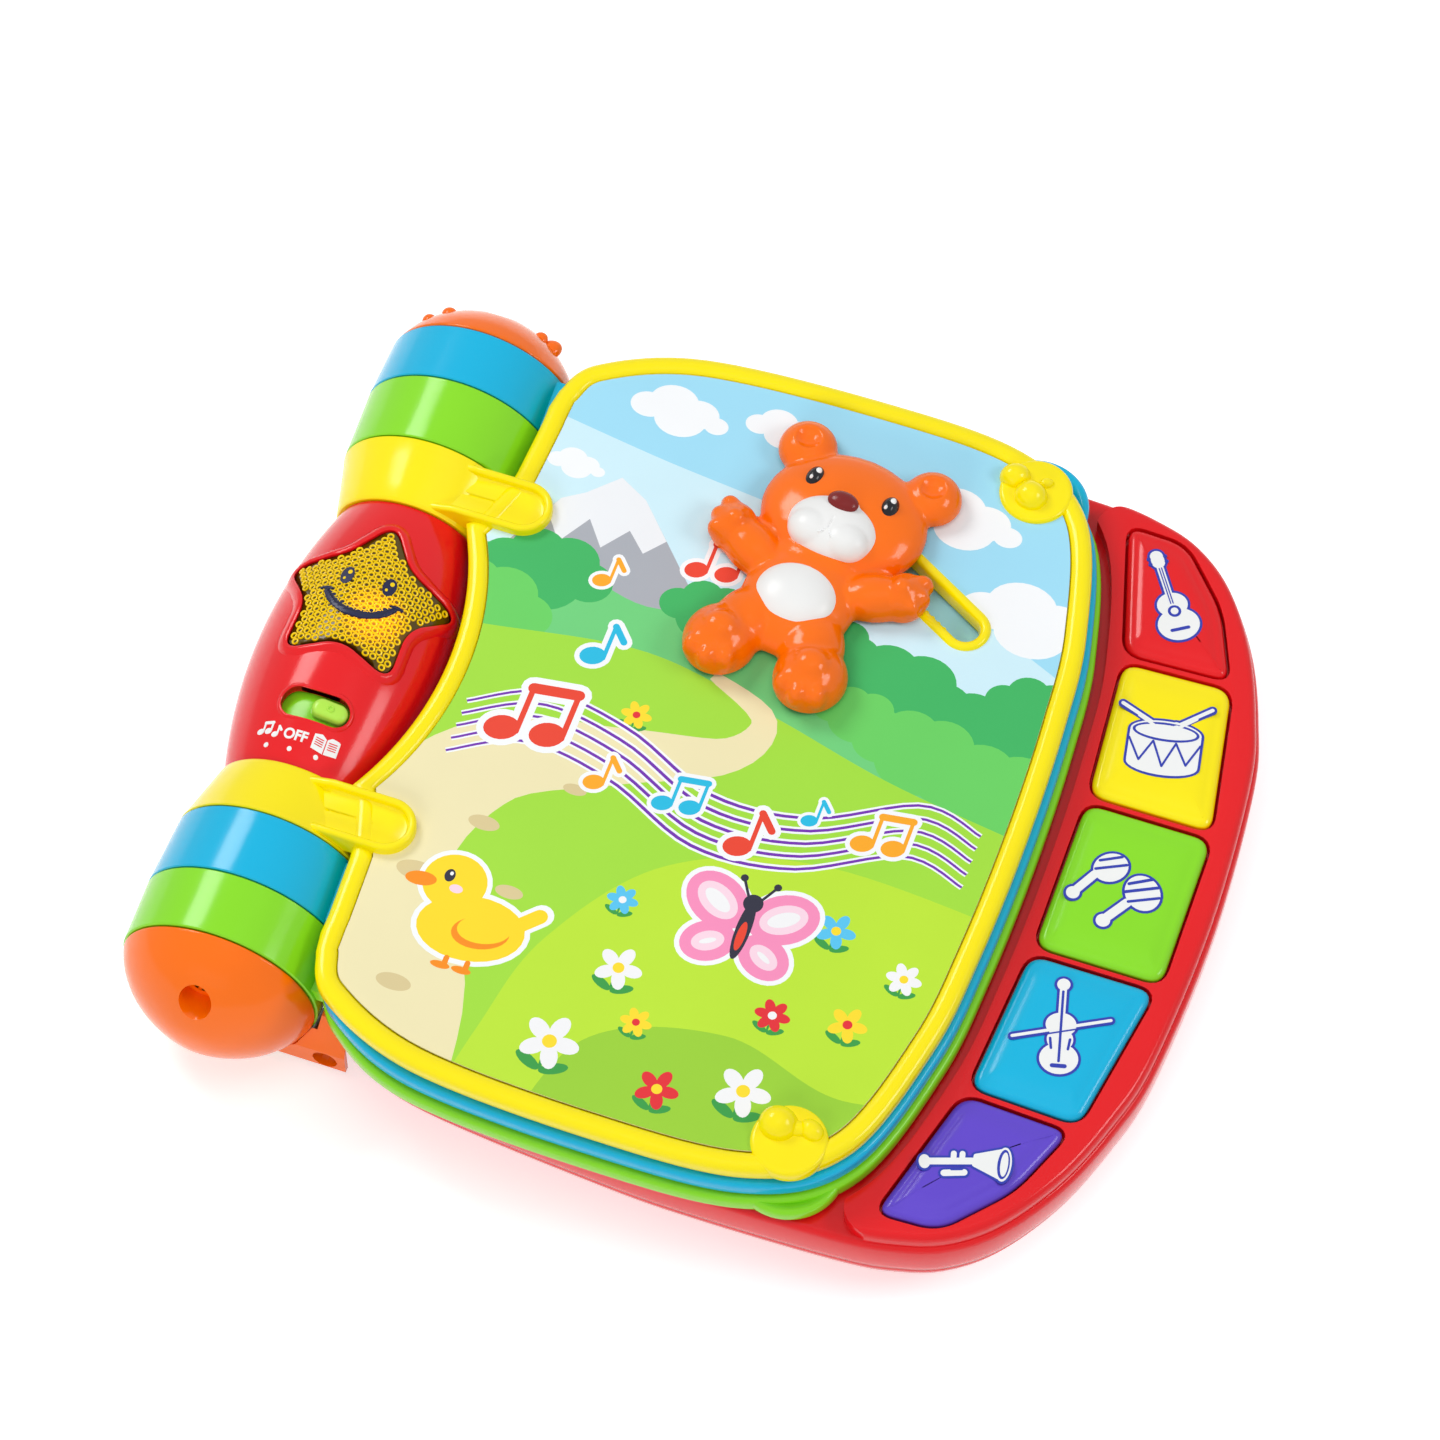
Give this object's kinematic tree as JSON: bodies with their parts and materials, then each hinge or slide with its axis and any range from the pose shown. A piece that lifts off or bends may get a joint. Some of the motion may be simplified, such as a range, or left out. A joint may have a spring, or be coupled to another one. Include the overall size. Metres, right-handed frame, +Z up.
{
  "type": "musical toy book",
  "caption": "Chunky plastic toy book with a striped roller spine, hinged board pages, a curved row of instrument keys, a star light button, a mode slider and a sliding teddy bear.",
  "frame": {"origin": "on the table under the middle of the closed book's bounding box", "axes": "+X from the spine across the pages to the keys, +Y along the spine to the top edge of the pages, +Z up out of the cover"},
  "size_m": [0.2828, 0.2528, 0.0662],
  "materials": {
    "yellow": "glossy",
    "orange": "glossy",
    "red": "glossy",
    "blue": "glossy",
    "green": "glossy",
    "purple": "glossy",
    "light_green": "glossy",
    "amber": "clear tinted, textured inside",
    "card": "printed card, satin",
    "white": "glossy",
    "nose": "glossy",
    "black": "glossy",
    "metal": "satin",
    "board": "matte",
    "rubber": "matte"
  },
  "bodies": {
    "base": {"base_top_shell": "red", "base_bottom_shell": "red", "key_bezel": "red", "base_deck_card": "card", "spine_upper_housing": "red", "spine_lower_housing": "red", "end_cap_far": "orange", "end_cap_near": "orange", "foot_far": "orange", "foot_near": "orange", "foot_screw_far": "metal", "foot_screw_near": "metal", "cap_screw_far": "metal", "cap_screw_near": "metal", "spine_tube_far": "white", "spine_tube_near": "white", "battery_door": "red", "battery_door_screw": "metal", "battery_1": "white", "battery_2": "white", "battery_contact_rear": "metal", "battery_contact_front": "metal", "speaker": "metal", "main_board": "board", "key_board": "board", "key_dome_sheet": "rubber", "light_board": "board", "light_emitter": "white", "base_screw_1": "metal", "base_screw_2": "metal", "base_screw_3": "metal", "base_screw_4": "metal"},
    "green_page": {"green_page_frame": "green", "green_page_front_card": "card", "green_page_back_card": "card"},
    "blue_page": {"blue_page_frame": "blue", "blue_page_front_card": "card", "blue_page_back_card": "card"},
    "cover": {"cover_frame": "yellow", "cover_front_card": "card", "cover_back_card": "card"},
    "bear": {"bear_body": "orange", "bear_muzzle": "white", "bear_tummy": "white", "bear_nose": "nose", "bear_eye_right": "black", "bear_eye_left": "black", "bear_retainer": "orange"},
    "star": {"star_button": "amber"},
    "mode_switch": {"switch_slider": "green", "switch_knob": "light_green"},
    "key_guitar": {"key_guitar": "red"},
    "key_drum": {"key_drum": "yellow"},
    "key_maracas": {"key_maracas": "green"},
    "key_violin": {"key_violin": "blue"},
    "key_trumpet": {"key_trumpet": "purple"}
  },
  "joints": [
    {"name": "green_page_hinge", "type": "hinge", "parent": "base", "child": "green_page", "pos_m": [-0.11221, 0, 0.0298], "axis": [0, -1, 0], "range_deg": [0, 33]},
    {"name": "blue_page_hinge", "type": "hinge", "parent": "green_page", "child": "blue_page", "pos_m": [-0.11221, 0, 0.0298], "axis": [0, -1, 0], "range_deg": [0, 34]},
    {"name": "cover_hinge", "type": "hinge", "parent": "blue_page", "child": "cover", "pos_m": [-0.11221, 0, 0.0298], "axis": [0, -1, 0], "range_deg": [0, 109]},
    {"name": "bear_slide", "type": "slide", "parent": "cover", "child": "bear", "axis": [0.867, -0.4983, 0], "range_m": [0, 0.0495]},
    {"name": "star_press", "type": "slide", "parent": "base", "child": "star", "axis": [0, 0, -1], "range_m": [0, 0.0015], "stiffness_N_per_m": 300, "springref_m": -0.002},
    {"name": "mode_switch_slide", "type": "hinge", "parent": "base", "child": "mode_switch", "pos_m": [-0.11221, 0, 0.0298], "axis": [0, -1, 0], "range_deg": [0, 19.3]},
    {"name": "key_guitar_press", "type": "slide", "parent": "base", "child": "key_guitar", "axis": [0, 0, -1], "range_m": [0, 0.0022], "stiffness_N_per_m": 300, "springref_m": -0.002},
    {"name": "key_drum_press", "type": "slide", "parent": "base", "child": "key_drum", "axis": [0, 0, -1], "range_m": [0, 0.0022], "stiffness_N_per_m": 300, "springref_m": -0.002},
    {"name": "key_maracas_press", "type": "slide", "parent": "base", "child": "key_maracas", "axis": [0, 0, -1], "range_m": [0, 0.0022], "stiffness_N_per_m": 300, "springref_m": -0.002},
    {"name": "key_violin_press", "type": "slide", "parent": "base", "child": "key_violin", "axis": [0, 0, -1], "range_m": [0, 0.0022], "stiffness_N_per_m": 300, "springref_m": -0.002},
    {"name": "key_trumpet_press", "type": "slide", "parent": "base", "child": "key_trumpet", "axis": [0, 0, -1], "range_m": [0, 0.0022], "stiffness_N_per_m": 300, "springref_m": -0.002}
  ]
}
